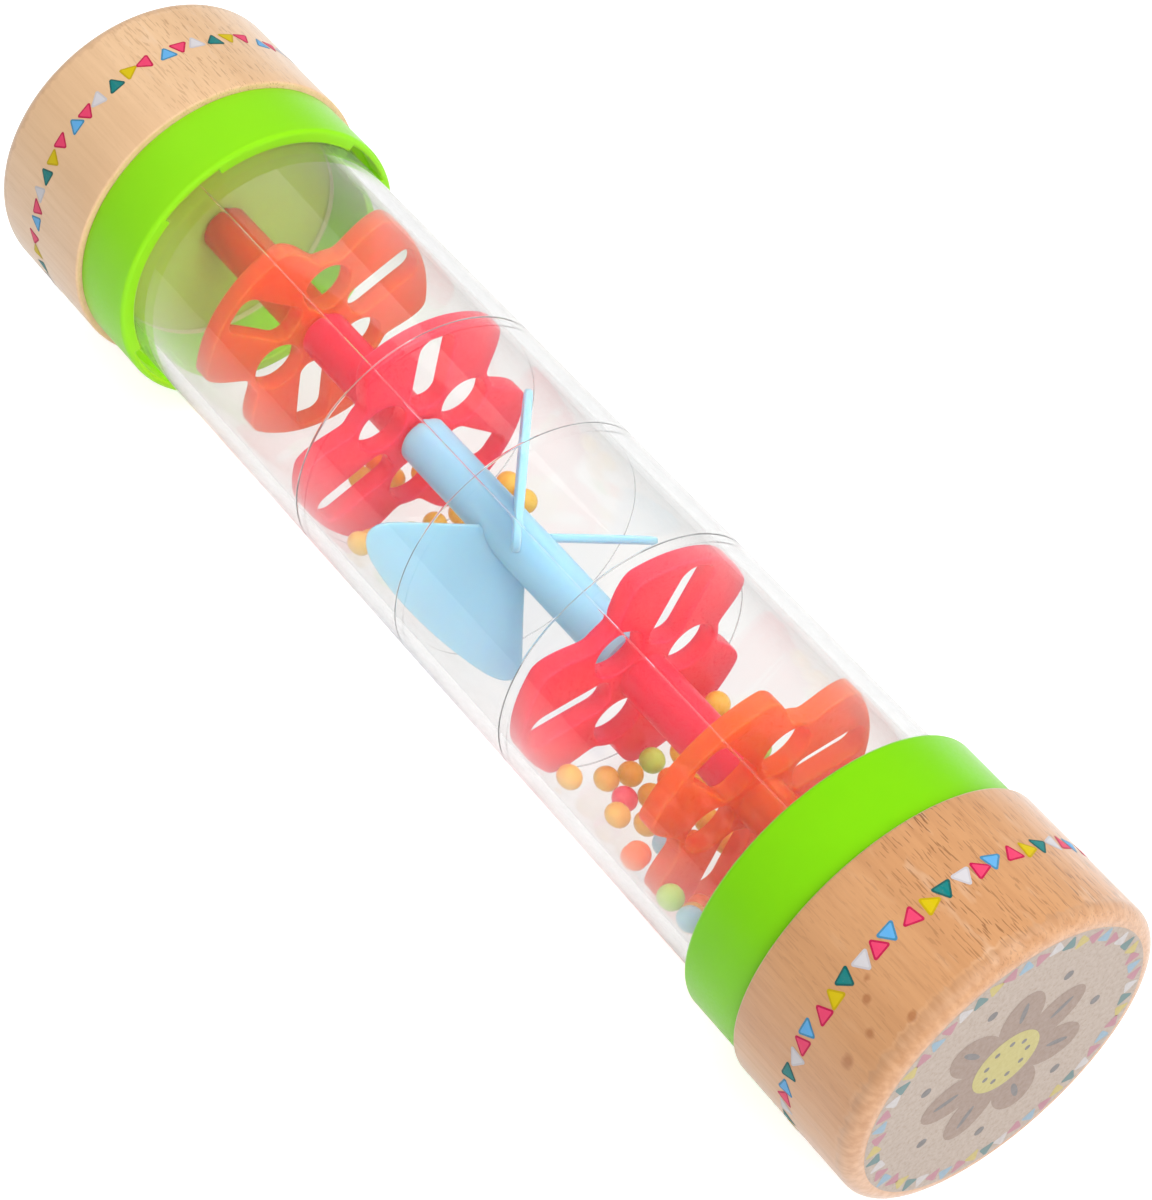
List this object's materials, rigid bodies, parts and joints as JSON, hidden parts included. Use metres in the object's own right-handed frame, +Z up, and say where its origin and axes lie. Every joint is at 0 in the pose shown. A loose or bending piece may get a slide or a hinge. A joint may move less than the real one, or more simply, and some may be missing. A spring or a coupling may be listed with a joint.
{
  "type": "rain stick",
  "caption": "Toy rain stick lying on its side: clear tube with coloured beads, turning slotted discs and a propeller, green collars and round beech end caps.",
  "frame": {"origin": "on the floor below the middle of the lying toy", "axes": "+X along the tube axis, +Z up, away from the floor"},
  "size_m": [0.2, 0.0486, 0.0486],
  "materials": {
    "clear_tube": "clear, polished",
    "collar": "satin gloss",
    "beech": "smooth, clear satin varnish",
    "rod": "drawn",
    "disc_orange": "slightly translucent",
    "disc_pink": "slightly translucent",
    "propeller": "slightly translucent",
    "bead_yellow": "smooth",
    "bead_orange": "smooth",
    "bead_pink": "smooth",
    "bead_green": "smooth",
    "bead_blue": "smooth"
  },
  "bodies": {
    "shell": {"clear_tube": "clear_tube", "collar_left": "collar", "collar_right": "collar", "end_cap_left": "beech", "end_cap_right": "beech", "centre_rod": "rod"},
    "orange_disc_left": {"disc_orange_left": "disc_orange"},
    "pink_disc_left": {"disc_pink_left": "disc_pink"},
    "pink_disc_right": {"disc_pink_right": "disc_pink"},
    "orange_disc_right": {"disc_orange_right": "disc_orange"},
    "propeller": {"propeller": "propeller"},
    "upper_heap": {"upper_beads_yellow": "bead_yellow", "upper_beads_orange": "bead_orange"},
    "middle_heap": {"middle_beads_yellow": "bead_yellow", "middle_beads_orange": "bead_orange", "middle_beads_green": "bead_green"},
    "lower_heap": {"lower_beads_yellow": "bead_yellow", "lower_beads_orange": "bead_orange", "lower_beads_pink": "bead_pink", "lower_beads_green": "bead_green", "lower_beads_blue": "bead_blue"},
    "end_heap": {"end_beads_yellow": "bead_yellow", "end_beads_orange": "bead_orange", "end_beads_pink": "bead_pink", "end_beads_green": "bead_green", "end_beads_blue": "bead_blue"}
  },
  "joints": [
    {"name": "propeller_spin", "type": "hinge", "parent": "shell", "child": "propeller", "pos_m": [0, 0, 0.0243], "axis": [1, 0, 0], "continuous": true},
    {"name": "orange_disc_left_spin", "type": "hinge", "parent": "shell", "child": "orange_disc_left", "pos_m": [-0.0508, 0, 0.0243], "axis": [1, 0, 0], "continuous": true},
    {"name": "pink_disc_left_spin", "type": "hinge", "parent": "shell", "child": "pink_disc_left", "pos_m": [-0.0259, 0, 0.0243], "axis": [1, 0, 0], "continuous": true},
    {"name": "pink_disc_right_spin", "type": "hinge", "parent": "shell", "child": "pink_disc_right", "pos_m": [0.0259, 0, 0.0243], "axis": [1, 0, 0], "continuous": true},
    {"name": "orange_disc_right_spin", "type": "hinge", "parent": "shell", "child": "orange_disc_right", "pos_m": [0.0508, 0, 0.0243], "axis": [1, 0, 0], "continuous": true},
    {"name": "upper_heap_roll", "type": "hinge", "parent": "shell", "child": "upper_heap", "pos_m": [-0.032, 0, 0.0243], "axis": [1, 0, 0], "continuous": true},
    {"name": "middle_heap_roll", "type": "hinge", "parent": "shell", "child": "middle_heap", "pos_m": [-0.02, 0, 0.0243], "axis": [1, 0, 0], "continuous": true},
    {"name": "lower_heap_roll", "type": "hinge", "parent": "shell", "child": "lower_heap", "pos_m": [0.034, 0, 0.0243], "axis": [1, 0, 0], "continuous": true},
    {"name": "end_heap_roll", "type": "hinge", "parent": "shell", "child": "end_heap", "pos_m": [0.058, 0, 0.0243], "axis": [1, 0, 0], "continuous": true}
  ]
}
